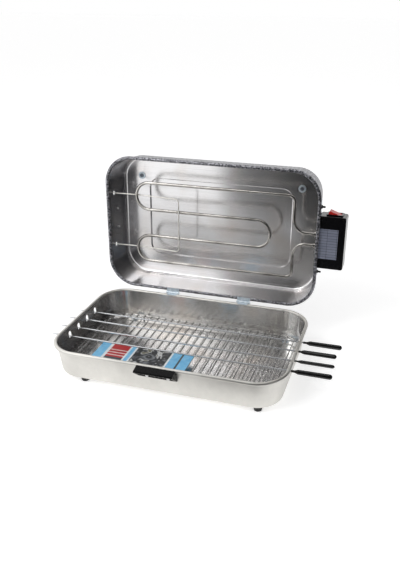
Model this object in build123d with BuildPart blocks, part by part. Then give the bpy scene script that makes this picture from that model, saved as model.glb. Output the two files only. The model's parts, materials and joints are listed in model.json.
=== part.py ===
from build123d import *
import math
import os

# Electric barbecue grill: a drawn aluminium tray on rubber feet, with a wire rack and four skewers in it,
# and a hinged lid that carries the heating element, the switch box and a side handle.
# Millimetres, +X right, +Y back, +Z up. The pieces are drawn about the middle of the tray, on the table, with
# the lid standing open on its hinge stop, and are set down at the end with the origin under the middle of it all.

os.makedirs("parts", exist_ok=True)

# Allowances
overrun = 10.0  # how far a cut runs past what it cuts
touch_gap = 0.3  # room between neighbours that move past each other
fit_gap = 0.05  # radial room of a pin or screw in its hole

# Drawn bodies: tray and lid share one rim
body_length = 460.0
body_width = 286.0
rim_corner = 60.0
rim_bead = 3.45
rim_bite = 0.2
rim_gap = 0.4
sheet = 1.2
tray_depth = 62.5
tray_draft = 5.8
tray_edge = 8.0
lid_depth = 76.6
lid_draft = 3.0
lid_edge = 9.0
lid_open_angle = 94.3
panel_side_inset = 68.0
panel_front_inset = 55.0
panel_corner = 24.0
panel_press = 3.0
panel_slope = 40.0

# Feet and their screws
foot_height = 10.5
foot_top_radius = 9.4
foot_tip_radius = 7.4
foot_round = 1.0
foot_recess_radius = 4.6
foot_recess_depth = 4.2
foot_side_inset = 59.5
foot_back_inset = 28.0
foot_shift = 10.0
lid_foot_side_inset = 52.0
lid_foot_front_inset = 53.5
screw_radius = 2.0
screw_head_radius = 4.0
screw_head_height = 2.4
screw_head_round = 1.2
screw_cross_length = 4.4
screw_cross_width = 0.9
screw_cross_depth = 1.2
screw_end_recess = 0.8
washer_radius = 8.0
washer_thickness = 1.0
nut_across_flats = 7.0
nut_height = 3.2

# Pull handle, riveted on the tray's front and on the lid's left side
handle_length = 74.0
handle_reach = 23.6
handle_toe = 3.5
handle_shelf = 15.4
handle_nose = 6.8
handle_top = 23.2
handle_brow = 21.4
handle_brow_cut = 1.8
handle_lip = 2.6
handle_plate = 3.0
handle_wall = 2.4
handle_end_wall = 3.0
handle_round = 0.8
handle_rivet_pitch = 41.0
tray_handle_drop = 19.5
lid_handle_height = 35.0
rivet_radius = 1.6
rivet_head_radius = 3.2
rivet_head_height = 1.4
rivet_tail_radius = 2.2
rivet_tail_height = 1.8

# Hinges
hinge_spacing = 160.0
hinge_setback = 3.3
leaf_thickness = 1.2
base_leaf_width = 21.0
lid_leaf_width = 28.0
knuckle_radius = 2.8
base_knuckle_length = 10.0
hinge_pin_radius = 1.25
hinge_pin_head_radius = 2.1
hinge_pin_head_height = 1.0
hinge_stop_gap = 0.35
hinge_stop_reach = 6.0
hinge_stop_thickness = 2.0
hinge_rivet_pitch = 13.0
hinge_rivet_radius = 1.4
hinge_rivet_sink_radius = 2.1
hinge_rivet_sink_depth = 0.7
hinge_rivet_tail_radius = 1.9
hinge_rivet_tail_height = 0.9

# Skewers and the openings that they lie in
skewer_count = 4
skewer_pitch = 35.4
skewer_drop = 22.0
skewer_radius = 1.7
skewer_tip_length = 16.0
skewer_tip_radius = 0.25
skewer_tip_overhang = 38.5
skewer_pull = 5.0
skewer_pull_shares = (0.5, 0.3, 0.0, 1.0)
skewer_grip_length = 75.5
skewer_neck_length = 13.0
skewer_neck_radius = 2.3
skewer_grip_radius = 4.5
skewer_butt_radius = 4.9
skewer_flat_share = 0.74
skewer_rolls = (65.0, -30.0, 20.0, 70.0)
skewer_socket_depth = 55.0
skewer_hole_width = 9.0
skewer_hole_height = 13.0
skewer_slot_width = 6.5

# Rack
rack_side_gap = 18.0
rack_front_gap = 25.0
rack_corner = 36.0
rack_frame_radius = 2.0
rack_clear_height = 6.3
rack_rail_inset = 8.0
rack_bar_radius = 1.25
rack_bar_count = 26
rack_bar_end_margin = 12.0
rack_weld = 0.25
rack_leg_inset = 72.0

# Printed card lying on the rack
card_length = 195.0
card_width = 72.0
card_thickness = 0.6
card_left_inset = 60.0
card_front_inset = 55.0

# Heating element and the wire that holds its free end
element_radius = 3.25
element_height = 20.0
element_pitch = 57.5
element_left_inset = 61.0
element_right_inset = 104.0
element_riser_inset = 55.5
element_bend_slack = 0.25
element_corner_radius = 13.0
element_terminal_radius = 26.0
element_terminal_pitch = 24.0
gland_radius = 4.3
gland_head_radius = 5.6
gland_head_height = 2.4
gland_nut_radius = 6.8
gland_nut_height = 3.5
gland_end = 2.0
insulator_radius = 2.8
insulator_length = 3.0
terminal_pin_radius = 1.6
terminal_pin_length = 6.0
wire_radius = 1.25
wire_bar_inset = 158.0
wire_tail = 5.0
wire_hook_height = 21.5
wire_corner_radius = 8.0
wire_sag_radius = 60.0
wire_hole_width = 6.5
wire_hole_length = 9.0

# Switch box on the lid's right side
bracket_plate = 1.5
bracket_half_span = 80.0
bracket_low = 9.0
bracket_high = 38.0
bracket_bolt_inset = 12.0
bracket_bolt_end = 9.0
box_reach = 54.0
box_span = 108.0
box_thickness = 38.0
box_setback = 5.0
box_corner = 4.0
box_wall = 2.4
cover_thickness = 2.0
cover_round = 0.8
cover_screw_inset = 5.0
cover_screw_radius = 1.4
cover_screw_head_radius = 2.6
cover_screw_head_height = 1.4
cover_screw_length = 10.0
boss_radius = 4.2
plate_width = 38.0
plate_height = 61.5
plate_thickness = 0.5
plate_left_inset = 2.5
plate_offset = 2.2

# Rocker switch in the box's front wall
switch_offset = 2.5
bezel_length = 33.0
bezel_width = 24.0
bezel_height = 2.4
switch_length = 29.6
switch_width = 21.8
switch_depth = 17.0
rocker_radius = 13.0
rocker_width = 18.0
rocker_top = 3.8
rocker_bottom = 3.5
rocker_tilt = 20.0
rocker_round = 0.7
rocker_pivot_height = 1.0
rocker_well_depth = 8.5
trunnion_radius = 1.5
trunnion_length = 1.1
blade_width = 6.3
blade_thickness = 0.8
blade_length = 8.0
blade_pitch = 12.0

# Wiring inside the box
block_length = 24.0
block_width = 16.0
block_height = 12.0
block_end_gap = 32.0
lead_radius = 1.3
lead_bend = 2.5
bush_radius = 7.0
bush_bore = 3.6
bush_neck_radius = 5.5
bush_height = 7.0
bush_end_gap = 16.0

# Levels and places worked out from the sizes above
rim_top = foot_height + tray_depth
bead_level = rim_top - rim_bead
parting = rim_top + rim_gap / 2
wall_inset = 2 * rim_bead - rim_bite - sheet
tray_drop = bead_level - foot_height
tray_taper = math.degrees(math.atan2(tray_draft, tray_drop))
lid_rise = lid_depth - rim_bead
lid_taper = math.degrees(math.atan2(lid_draft, lid_rise))
tray_floor = foot_height + sheet
lid_floor = lid_rise - sheet
hinge_y = body_width / 2 + hinge_setback
skewer_level = rim_top - skewer_drop
skewer_seat = skewer_level - skewer_radius - touch_gap
skewer_rows = [(row - (skewer_count - 1) / 2) * skewer_pitch for row in range(skewer_count)]
hinge_places = (-hinge_spacing / 2, hinge_spacing / 2)
wall_reach = 2 * rim_bead + tray_draft + sheet + overrun

# The tray's own plane lies at the middle of its rim and faces down, the lid's faces away from the tray
tray_plane = Plane(origin=(0, 0, bead_level), x_dir=(1, 0, 0), z_dir=(0, 0, -1))
hinge_point = Vector(0, hinge_y, parting)


def opened(vector):
    """A direction of the closed lid, turned to the open lid."""
    return Vector(*vector).rotate(Axis.X, -lid_open_angle)


lid_origin = hinge_point + opened(Vector(0, 0, rim_top + rim_gap + rim_bead) - hinge_point)
lid_plane = Plane(origin=lid_origin, x_dir=(1, 0, 0), z_dir=opened((0, 0, 1)))


def lid_at(x, y, z, across=(1, 0, 0), normal=(0, 0, 1)):
    """A plane at a place on the lid, with its directions given as on the closed lid."""
    place = lid_plane.from_local_coords(Vector(x, y, z))
    return Plane(origin=place, x_dir=opened(across), z_dir=opened(normal))


def tray_wall(level):
    """How far the tray's outer wall stands in from the rim's outer edge at a level."""
    return wall_inset + tray_draft * (bead_level - level) / tray_drop


def lid_wall(height):
    """How far the lid's outer wall stands in from the rim's outer edge at a height above its rim."""
    return wall_inset + lid_draft * height / lid_rise


def lid_corner_drop(reach):
    """How far the lid's inner end wall has curved in at a distance from its middle, past the straight part."""
    bend = rim_corner - wall_inset - sheet
    into_corner = max(0, reach - body_width / 2 + rim_corner)
    return bend - math.sqrt(bend ** 2 - into_corner ** 2)


pieces = {}


def save(piece, name):
    """Keep a finished piece under its name."""
    pieces[name] = piece.part


def dish(plane, inset, rise, taper, edge):
    """A solid dish: a rounded rectangle drawn in towards its floor, with a rounded floor edge."""
    with BuildPart() as form:
        with BuildSketch(plane):
            RectangleRounded(body_length - 2 * inset, body_width - 2 * inset, rim_corner - inset)
        extrude(amount=rise, taper=taper)
        floor = form.faces().sort_by(Axis(plane.origin, plane.z_dir))[-1]
        fillet(floor.edges(), edge)
    return form.part


def rolled_rim(plane):
    """The bead that the sheet's edge is rolled into, all the way round."""
    with BuildSketch(plane) as line:
        RectangleRounded(body_length - 2 * rim_bead, body_width - 2 * rim_bead, rim_corner - rim_bead)
    path = line.sketch.wire()
    with BuildPart() as rim:
        with BuildSketch(Plane(origin=path @ 0, z_dir=path % 0)):
            Circle(rim_bead)
        sweep(path=path)
    return rim.part


def drawn_shell(plane, rise, taper, edge):
    """A dish of sheet metal with a rolled rim and an open mouth."""
    inner = wall_inset + sheet
    with BuildPart() as shell:
        add(dish(plane, wall_inset, rise, taper, edge))
        add(rolled_rim(plane))
        add(dish(plane, inner, rise - sheet, taper, edge - sheet), mode=Mode.SUBTRACT)
        with BuildSketch(plane):
            RectangleRounded(body_length - 2 * inner, body_width - 2 * inner, rim_corner - inner)
        extrude(amount=-(rim_bead + overrun), mode=Mode.SUBTRACT)
    return shell.part


# Hardware, each made once about the origin: +Z points away from the sheet that it fastens
with BuildPart() as foot:
    Cone(foot_top_radius, foot_tip_radius, foot_height, align=(Align.CENTER, Align.CENTER, Align.MIN))
    fillet(foot.edges().group_by(Axis.Z)[-1], foot_round)
    with Locations((0, 0, foot_height)):
        Cylinder(foot_recess_radius, foot_recess_depth, align=(Align.CENTER, Align.CENTER, Align.MAX),
                 mode=Mode.SUBTRACT)
    Cylinder(screw_radius + fit_gap, foot_height, align=(Align.CENTER, Align.CENTER, Align.MIN),
             mode=Mode.SUBTRACT)

with BuildPart() as foot_screw:
    head_seat = -(sheet + washer_thickness)
    with Locations((0, 0, head_seat)):
        Cylinder(screw_head_radius, screw_head_height, align=(Align.CENTER, Align.CENTER, Align.MAX))
        fillet(foot_screw.edges().group_by(Axis.Z)[0], screw_head_round)
        Cylinder(screw_radius, foot_height - screw_end_recess - head_seat,
                 align=(Align.CENTER, Align.CENTER, Align.MIN))
    with Locations((0, 0, head_seat - screw_head_height)):
        for length, width in ((screw_cross_length, screw_cross_width), (screw_cross_width, screw_cross_length)):
            Box(length, width, 2 * screw_cross_depth, mode=Mode.SUBTRACT)

with BuildPart() as foot_washer:
    with Locations((0, 0, -sheet)):
        Cylinder(washer_radius, washer_thickness, align=(Align.CENTER, Align.CENTER, Align.MAX))
        Cylinder(screw_radius + fit_gap, washer_thickness, align=(Align.CENTER, Align.CENTER, Align.MAX),
                 mode=Mode.SUBTRACT)

with BuildPart() as nut:
    with BuildSketch():
        RegularPolygon(nut_across_flats / 2, 6, major_radius=False)
        Circle(screw_radius + fit_gap, mode=Mode.SUBTRACT)
    extrude(amount=nut_height)

with BuildPart() as handle_rivet:
    with Locations((0, 0, handle_plate)):
        Cylinder(rivet_head_radius, rivet_head_height, align=(Align.CENTER, Align.CENTER, Align.MIN))
        fillet(handle_rivet.edges().group_by(Axis.Z)[-1], rivet_head_height / 2)
    with Locations((0, 0, -sheet)):
        Cylinder(rivet_radius, sheet + handle_plate, align=(Align.CENTER, Align.CENTER, Align.MIN))
        Cylinder(rivet_tail_radius, rivet_tail_height, align=(Align.CENTER, Align.CENTER, Align.MAX))

with BuildPart() as hinge_rivet:
    # The head is sunk flush with the leaf's face, at the origin, and the tail is set under the bead
    Cone(hinge_rivet_sink_radius, hinge_rivet_radius, hinge_rivet_sink_depth,
         align=(Align.CENTER, Align.CENTER, Align.MIN))
    Cylinder(hinge_rivet_radius, 2 * rim_bead, align=(Align.CENTER, Align.CENTER, Align.MIN))
    with Locations((0, 0, 2 * rim_bead)):
        Cylinder(hinge_rivet_tail_radius, hinge_rivet_tail_height, align=(Align.CENTER, Align.CENTER, Align.MIN))


def pull_handle(plane):
    """Moulded hood handle. The plane lies on the wall at the rivets: X along it, Y up the wall, Z outwards."""
    brow_end = handle_reach - handle_brow_cut
    lip_foot = handle_brow - handle_lip
    inner_top = handle_top - handle_wall
    inner_brow = handle_brow - handle_wall
    inner_nose = handle_nose + handle_wall
    inner_reach = handle_reach - handle_wall
    side = Plane(origin=plane.origin, x_dir=plane.y_dir, z_dir=plane.x_dir)
    with BuildPart() as handle:
        with BuildSketch(side):
            Polygon((-handle_toe, 0), (handle_shelf, 0), (handle_shelf, handle_nose), (handle_top, handle_nose),
                    (handle_brow, brow_end), (handle_brow - handle_brow_cut, handle_reach),
                    (lip_foot, handle_reach), (-handle_toe, handle_plate), align=None)
        extrude(amount=handle_length / 2, both=True)
        outer_edges = handle.edges().filter_by(Axis(plane.origin, plane.x_dir))
        fillet(outer_edges.sort_by(Axis(plane.origin, plane.z_dir))[-4:], handle_round)
        with BuildSketch(side):
            Polygon((-handle_toe - overrun, handle_plate), (handle_shelf - handle_wall, handle_plate),
                    (handle_shelf - handle_wall, inner_nose), (inner_top, inner_nose),
                    (inner_brow, inner_reach), (-handle_toe - overrun, inner_reach), align=None)
        extrude(amount=handle_length / 2 - handle_end_wall, both=True, mode=Mode.SUBTRACT)
        for place in (-handle_rivet_pitch / 2, handle_rivet_pitch / 2):
            with Locations(plane):
                with Locations((place, 0, 0)):
                    Cylinder(rivet_radius + fit_gap, 2 * handle_plate + overrun, mode=Mode.SUBTRACT)
    return handle


def handle_rivets(plane):
    """The two rivets of a pull handle."""
    with BuildPart() as rivets:
        with Locations(plane):
            with Locations((-handle_rivet_pitch / 2, 0, 0), (handle_rivet_pitch / 2, 0, 0)):
                add(handle_rivet.part)
    return rivets


# Handle planes: on the tray's front wall, and on the lid's left wall
tray_handle_level = bead_level - tray_handle_drop
tray_slope = math.radians(tray_taper)
tray_handle_plane = Plane(
    origin=(0, tray_wall(tray_handle_level) - body_width / 2, tray_handle_level),
    x_dir=(1, 0, 0), z_dir=(0, -math.cos(tray_slope), -math.sin(tray_slope)))
lid_slope = math.radians(lid_taper)
lid_handle_plane = lid_at(
    lid_wall(lid_handle_height) - body_length / 2, 0, lid_handle_height,
    across=(0, -1, 0), normal=(-math.cos(lid_slope), 0, math.sin(lid_slope)))

# Feet: four under the tray, two on the lid's outside
foot_x = body_length / 2 - foot_side_inset
foot_y = body_width / 2 - foot_back_inset
tray_foot_places = {
    f"{'front' if sy < 0 else 'rear'}_{'left' if sx < 0 else 'right'}":
        Plane(origin=(sx * foot_x + foot_shift, sy * foot_y, foot_height), x_dir=(1, 0, 0), z_dir=(0, 0, -1))
    for sx in (-1, 1) for sy in (-1, 1)}
lid_foot_x = body_length / 2 - lid_foot_side_inset
lid_foot_y = lid_foot_front_inset - body_width / 2
lid_foot_places = {side: lid_at(sign * lid_foot_x, lid_foot_y, lid_rise)
                   for side, sign in (("left", -1), ("right", 1))}


def foot_hardware(places, prefix):
    """Each foot as a piece of its own, and the screws, washers and nuts of the set as groups."""
    for corner, plane in places.items():
        with BuildPart() as one_foot:
            with Locations(plane):
                add(foot.part)
        save(one_foot, f"{prefix}_foot_{corner}")
    planes = list(places.values())
    nut_planes = [plane.offset(foot_height - foot_recess_depth) for plane in planes]
    for kind, solid, where in (("screws", foot_screw, planes), ("washers", foot_washer, planes),
                               ("nuts", nut, nut_planes)):
        with BuildPart() as group:
            with Locations(*where):
                add(solid.part)
        save(group, f"{prefix}_foot_{kind}")


def cut_round(planes, radius, depth):
    """Round holes through a sheet, one at each plane."""
    with Locations(*planes):
        Cylinder(radius, 2 * depth, mode=Mode.SUBTRACT)


# Hinge planes: face of each leaf, with Y towards the hinge pin and Z into the rim that carries the leaf
base_leaf_planes = [Plane(origin=(x, body_width / 2 - rim_bead, rim_top), x_dir=(-1, 0, 0), z_dir=(0, 0, -1))
                    for x in hinge_places]
lid_leaf_planes = [lid_at(x, body_width / 2 - rim_bead, -rim_bead) for x in hinge_places]


def cut_hinge_seats(planes, width):
    """Flats for the hinge leaves in a rim, and the holes of their rivets."""
    with Locations(*planes):
        Box(width + 2 * touch_gap, 2 * rim_bead + overrun, 2 * leaf_thickness, mode=Mode.SUBTRACT)
        with Locations((-hinge_rivet_pitch / 2, 0, 0), (hinge_rivet_pitch / 2, 0, 0)):
            Cylinder(hinge_rivet_radius + fit_gap, 4 * rim_bead, mode=Mode.SUBTRACT)


# Base tray
with BuildPart() as base_tray:
    add(drawn_shell(tray_plane, tray_drop, tray_taper, tray_edge))
    # Arched holes for the skewer tips in the left wall
    with BuildSketch(Plane.YZ.offset(-body_length / 2)):
        for row in skewer_rows:
            with Locations((row, skewer_seat)):
                Rectangle(skewer_hole_width, skewer_hole_height - skewer_hole_width / 2,
                          align=(Align.CENTER, Align.MIN))
            with Locations((row, skewer_seat + skewer_hole_height - skewer_hole_width / 2)):
                Circle(skewer_hole_width / 2)
    extrude(amount=wall_reach, mode=Mode.SUBTRACT)
    # Slots for the skewer necks, open at the top, in the right wall
    with BuildSketch(Plane.YZ.offset(body_length / 2 - wall_reach)):
        for row in skewer_rows:
            with Locations((row, skewer_seat + skewer_slot_width / 2)):
                Circle(skewer_slot_width / 2)
                Rectangle(skewer_slot_width, rim_top - skewer_seat, align=(Align.CENTER, Align.MIN))
    extrude(amount=wall_reach + overrun, mode=Mode.SUBTRACT)
    cut_round(tray_foot_places.values(), screw_radius + fit_gap, sheet + tray_edge)
    with Locations(tray_handle_plane):
        with Locations((-handle_rivet_pitch / 2, 0, 0), (handle_rivet_pitch / 2, 0, 0)):
            Cylinder(rivet_radius + fit_gap, 2 * sheet + overrun, mode=Mode.SUBTRACT)
    cut_hinge_seats(base_leaf_planes, base_leaf_width)
save(base_tray, "base_tray")
foot_hardware(tray_foot_places, "base")

# Front handle
save(pull_handle(tray_handle_plane), "front_handle")
save(handle_rivets(tray_handle_plane), "front_handle_rivets")

# Rack: a bent wire frame on four legs, with two rails and cross bars welded on
rack_level = tray_floor + rack_clear_height + rack_frame_radius
rack_length = body_length - 2 * rack_side_gap
rack_width = body_width - 2 * rack_front_gap
bar_level = rack_level + rack_frame_radius + rack_bar_radius - rack_weld
with BuildSketch(Plane.XY.offset(rack_level)) as rack_line:
    RectangleRounded(rack_length, rack_width, rack_corner)
rack_path = rack_line.sketch.wire()
with BuildPart() as rack_frame:
    with BuildSketch(Plane(origin=rack_path @ 0, z_dir=rack_path % 0)):
        Circle(rack_frame_radius)
    sweep(path=rack_path)
    with BuildSketch(Plane.XY.offset(tray_floor)):
        with GridLocations(rack_length - 2 * rack_leg_inset, rack_width, 2, 2):
            Circle(rack_frame_radius)
    extrude(amount=rack_level - tray_floor)
save(rack_frame, "rack_frame")

bar_pitch = (rack_length - 2 * rack_bar_end_margin) / (rack_bar_count - 1)
bar_places = [(bar - (rack_bar_count - 1) / 2) * bar_pitch for bar in range(rack_bar_count)]
rail_width = rack_width - 2 * rack_rail_inset
with BuildPart() as rack_rails:
    with Locations((0, 0, rack_level + rack_frame_radius - rack_bar_radius)):
        with GridLocations(0, rail_width, 1, 2):
            Cylinder(rack_bar_radius, bar_places[-2] - bar_places[1] + 2 * rack_bar_radius, rotation=(0, 90, 0))
save(rack_rails, "rack_rails")


def bar_reach(place):
    """How far a cross bar reaches to the frame's line, which is shorter where it meets the bent corners."""
    into_corner = max(0, abs(place) - rack_length / 2 + rack_corner)
    return rack_width / 2 - rack_corner + math.sqrt(rack_corner ** 2 - into_corner ** 2)


with BuildPart() as rack_bars:
    for place in bar_places:
        with Locations((place, 0, bar_level)):
            Cylinder(rack_bar_radius, 2 * bar_reach(place) + rack_frame_radius, rotation=(90, 0, 0))
save(rack_bars, "rack_bars")

# Card lying on the rack bars
with BuildPart() as printed_card:
    with BuildSketch(Plane.XY.offset(bar_level + rack_bar_radius)):
        with Locations((card_left_inset - body_length / 2, card_front_inset - body_width / 2)):
            Rectangle(card_length, card_width, align=(Align.MIN, Align.MIN))
    extrude(amount=card_thickness)
save(printed_card, "printed_card")

# Hinges. In a leaf's plane the pin lies this far from the rivets and this far above the leaf's face.
pin_reach = rim_bead + hinge_setback
pin_rise = rim_gap / 2
knuckle_root = rim_bead + hinge_setback - knuckle_radius - touch_gap
lid_knuckle_length = (lid_leaf_width - base_knuckle_length) / 2 - touch_gap
lid_knuckle_place = base_knuckle_length / 2 + touch_gap + lid_knuckle_length / 2


def hinge_leaf(plane, width, knuckle_places, knuckle_length, bore):
    """A flat leaf on a rim, with its knuckles round the pin and sunk rivet holes."""
    with BuildPart() as leaf:
        with Locations(plane):
            with Locations((0, -rim_bead, 0)):
                Box(width, rim_bead + knuckle_root, leaf_thickness, align=(Align.CENTER, Align.MIN, Align.MIN))
            for place in knuckle_places:
                with Locations((place, 0, 0)):
                    Box(knuckle_length, pin_reach, leaf_thickness, align=(Align.CENTER, Align.MIN, Align.MIN))
                with Locations((place, pin_reach, -pin_rise)):
                    Cylinder(knuckle_radius, knuckle_length, rotation=(0, 90, 0))
            with Locations((0, pin_reach, -pin_rise)):
                Cylinder(bore, width + overrun, rotation=(0, 90, 0), mode=Mode.SUBTRACT)
            with Locations((-hinge_rivet_pitch / 2, 0, 0), (hinge_rivet_pitch / 2, 0, 0)):
                Cylinder(hinge_rivet_radius + fit_gap, 4 * leaf_thickness, mode=Mode.SUBTRACT)
                Cone(hinge_rivet_sink_radius + fit_gap, hinge_rivet_radius + fit_gap, hinge_rivet_sink_depth,
                     align=(Align.CENTER, Align.CENTER, Align.MIN), mode=Mode.SUBTRACT)
    return leaf


# The stop is a tongue behind the base knuckle, just under the open lid's rear bead
rear_bead = lid_plane.from_local_coords(Vector(0, body_width / 2 - rim_bead, 0))
stop_top = rear_bead.Z - rim_bead - hinge_stop_gap
for side, base_plane, lid_leaf_plane in zip(("left", "right"), base_leaf_planes, lid_leaf_planes):
    hinge_x = base_plane.origin.X
    base_leaf = hinge_leaf(base_plane, base_leaf_width, (0,), base_knuckle_length, hinge_pin_radius)
    with BuildPart() as hinge_base_leaf:
        add(base_leaf.part)
        with Locations((hinge_x, hinge_y, stop_top)):
            Box(base_knuckle_length, hinge_stop_reach, hinge_stop_thickness,
                align=(Align.CENTER, Align.MIN, Align.MAX))
        with Locations((hinge_x, hinge_y, parting)):
            Cylinder(hinge_pin_radius, base_leaf_width, rotation=(0, 90, 0), mode=Mode.SUBTRACT)
    save(hinge_base_leaf, f"hinge_base_leaf_{side}")

    hinge_lid_leaf = hinge_leaf(lid_leaf_plane, lid_leaf_width, (-lid_knuckle_place, lid_knuckle_place),
                                lid_knuckle_length, hinge_pin_radius + fit_gap)
    save(hinge_lid_leaf, f"hinge_lid_leaf_{side}")

    pin_length = lid_leaf_width + 2 * touch_gap
    with BuildPart() as hinge_pin:
        with Locations((hinge_x, hinge_y, parting)):
            Cylinder(hinge_pin_radius, pin_length, rotation=(0, 90, 0))
        head_place = (pin_length + hinge_pin_head_height) / 2
        with Locations((hinge_x - head_place, hinge_y, parting), (hinge_x + head_place, hinge_y, parting)):
            Cylinder(hinge_pin_head_radius, hinge_pin_head_height, rotation=(0, 90, 0))
    save(hinge_pin, f"hinge_pin_{side}")

for body, planes in (("base", base_leaf_planes), ("lid", lid_leaf_planes)):
    with BuildPart() as hinge_rivets:
        with Locations(*planes):
            with Locations((-hinge_rivet_pitch / 2, 0, 0), (hinge_rivet_pitch / 2, 0, 0)):
                add(hinge_rivet.part)
    save(hinge_rivets, f"hinge_{body}_rivets")

# Skewer grip, turned about X from its neck to its rounded butt, then flattened to an oval
with BuildPart() as round_grip:
    with BuildSketch(Plane.XY):
        with BuildLine():
            Polyline((skewer_grip_length, 0), (0, 0), (0, skewer_neck_radius),
                     (skewer_neck_length / 2, skewer_neck_radius), (skewer_neck_length, skewer_grip_radius),
                     (skewer_grip_length - skewer_butt_radius, skewer_butt_radius))
            RadiusArc((skewer_grip_length - skewer_butt_radius, skewer_butt_radius), (skewer_grip_length, 0),
                      skewer_butt_radius)
        make_face()
    revolve(axis=Axis.X)
grip_form = scale(round_grip.part, by=(1, 1, skewer_flat_share))

# Skewers: a pointed rod in its grip, each drawn out and rolled a little differently
grip_start = body_length / 2 - tray_wall(skewer_level) + touch_gap
skewer_lies = zip(skewer_rows, skewer_pull_shares, skewer_rolls)
for number, (row, pull_share, roll_angle) in enumerate(skewer_lies, start=1):
    pull = skewer_pull * pull_share
    start = grip_start + pull
    tip = -body_length / 2 - skewer_tip_overhang + pull
    lie = Plane(origin=(0, row, skewer_level), x_dir=(1, 0, 0), z_dir=(0, -1, 0))
    line = Axis((0, row, skewer_level), (1, 0, 0))
    with BuildPart() as skewer_rod:
        with BuildSketch(lie):
            Polygon((tip, 0), (tip, skewer_tip_radius), (tip + skewer_tip_length, skewer_radius),
                    (start + skewer_socket_depth, skewer_radius), (start + skewer_socket_depth, 0), align=None)
        revolve(axis=line)
    save(skewer_rod, f"skewer_rod_{number}")

    roll = math.radians(roll_angle)
    held = Plane(origin=(start, row, skewer_level), x_dir=(1, 0, 0), z_dir=(0, -math.sin(roll), math.cos(roll)))
    with BuildPart() as skewer_grip:
        with Locations(held):
            add(grip_form)
            Cylinder(skewer_radius, skewer_socket_depth, rotation=(0, 90, 0),
                     align=(Align.CENTER, Align.CENTER, Align.MIN), mode=Mode.SUBTRACT)
    save(skewer_grip, f"skewer_grip_{number}")

# Lid shell, with a rectangular panel pressed outwards in its floor
panel_length = body_length - 2 * panel_side_inset
panel_width = body_width - 2 * panel_front_inset
bracket_face = body_length / 2 - wall_inset + bracket_plate
box_middle = bracket_face + box_reach / 2
terminal_rows = (-element_terminal_pitch / 2, element_terminal_pitch / 2)
wire_rows = (-element_pitch, element_pitch)
bracket_bolt_rows = (bracket_bolt_inset - bracket_half_span, bracket_half_span - bracket_bolt_inset)
bracket_middle = (bracket_low + bracket_high) / 2
right_wall = body_length / 2 - wall_inset
with BuildPart() as lid_shell:
    add(drawn_shell(lid_plane, lid_rise, lid_taper, lid_edge))
    with BuildSketch(lid_plane.offset(lid_rise)):
        RectangleRounded(panel_length, panel_width, panel_corner)
    extrude(amount=panel_press, taper=panel_slope)
    with BuildSketch(lid_plane.offset(lid_floor)):
        RectangleRounded(panel_length - 2 * sheet, panel_width - 2 * sheet, panel_corner - sheet)
    extrude(amount=panel_press, taper=panel_slope, mode=Mode.SUBTRACT)
    cut_round(lid_foot_places.values(), screw_radius + fit_gap, sheet + lid_edge)
    cut_hinge_seats(lid_leaf_planes, lid_leaf_width)
    with Locations(lid_handle_plane):
        with Locations((-handle_rivet_pitch / 2, 0, 0), (handle_rivet_pitch / 2, 0, 0)):
            Cylinder(rivet_radius + fit_gap, 2 * sheet + overrun, mode=Mode.SUBTRACT)
    with Locations(*[lid_at(right_wall, row, element_height, across=(0, 1, 0), normal=(1, 0, 0))
                     for row in terminal_rows]):
        Cylinder(gland_radius + fit_gap, 2 * lid_draft + overrun, mode=Mode.SUBTRACT)
    with Locations(*[lid_at(right_wall, row, bracket_middle, across=(0, 1, 0), normal=(1, 0, 0))
                     for row in bracket_bolt_rows]):
        Cylinder(screw_radius + fit_gap, 2 * lid_draft + overrun, mode=Mode.SUBTRACT)
    for row in wire_rows:
        with BuildSketch(lid_at(-right_wall, row, wire_hook_height, across=(0, 1, 0), normal=(1, 0, 0))):
            SlotOverall(wire_hole_length, wire_hole_width)
        extrude(amount=lid_draft + overrun, both=True, mode=Mode.SUBTRACT)
save(lid_shell, "lid_shell")
foot_hardware(lid_foot_places, "lid")

# Lid handle on the left side
save(pull_handle(lid_handle_plane), "lid_handle")
save(handle_rivets(lid_handle_plane), "lid_handle_rivets")

# Bracket: a plate between the lid's right wall and the switch box, fitted to the wall's slope
with BuildPart() as box_bracket:
    with BuildSketch(lid_plane.offset(bracket_low)):
        with Locations((bracket_face, 0)):
            Rectangle(lid_draft + 2 * bracket_plate, 2 * bracket_half_span, align=(Align.MAX, Align.CENTER))
    extrude(amount=bracket_high - bracket_low)
    add(dish(lid_plane, wall_inset, lid_rise, lid_taper, lid_edge), mode=Mode.SUBTRACT)
    with Locations(*[lid_at(right_wall, row, element_height, across=(0, 1, 0), normal=(1, 0, 0))
                     for row in terminal_rows]):
        Cylinder(gland_radius + fit_gap, 2 * lid_draft + overrun, mode=Mode.SUBTRACT)
    with Locations(*[lid_at(right_wall, row, bracket_middle, across=(0, 1, 0), normal=(1, 0, 0))
                     for row in bracket_bolt_rows]):
        Cylinder(screw_radius + fit_gap, 2 * lid_draft + overrun, mode=Mode.SUBTRACT)
save(box_bracket, "box_bracket")

bolt_edge = bracket_half_span - bracket_bolt_inset + screw_head_radius
inner_wall = body_length / 2 - lid_wall(bracket_middle + screw_head_radius) - sheet - lid_corner_drop(bolt_edge)
bolt_length = bracket_face + bracket_bolt_end - inner_wall
with BuildPart() as bracket_bolts:
    with Locations(*[lid_at(inner_wall, row, bracket_middle, across=(0, 1, 0), normal=(1, 0, 0))
                     for row in bracket_bolt_rows]):
        Cylinder(screw_radius, bolt_length, align=(Align.CENTER, Align.CENTER, Align.MIN))
        Cylinder(screw_head_radius, screw_head_height, align=(Align.CENTER, Align.CENTER, Align.MAX))
save(bracket_bolts, "bracket_bolts")

with BuildPart() as bracket_nuts:
    with Locations(*[lid_at(bracket_face, row, bracket_middle, across=(0, 1, 0), normal=(1, 0, 0))
                     for row in bracket_bolt_rows]):
        add(nut.part)
save(bracket_nuts, "bracket_nuts")

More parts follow.
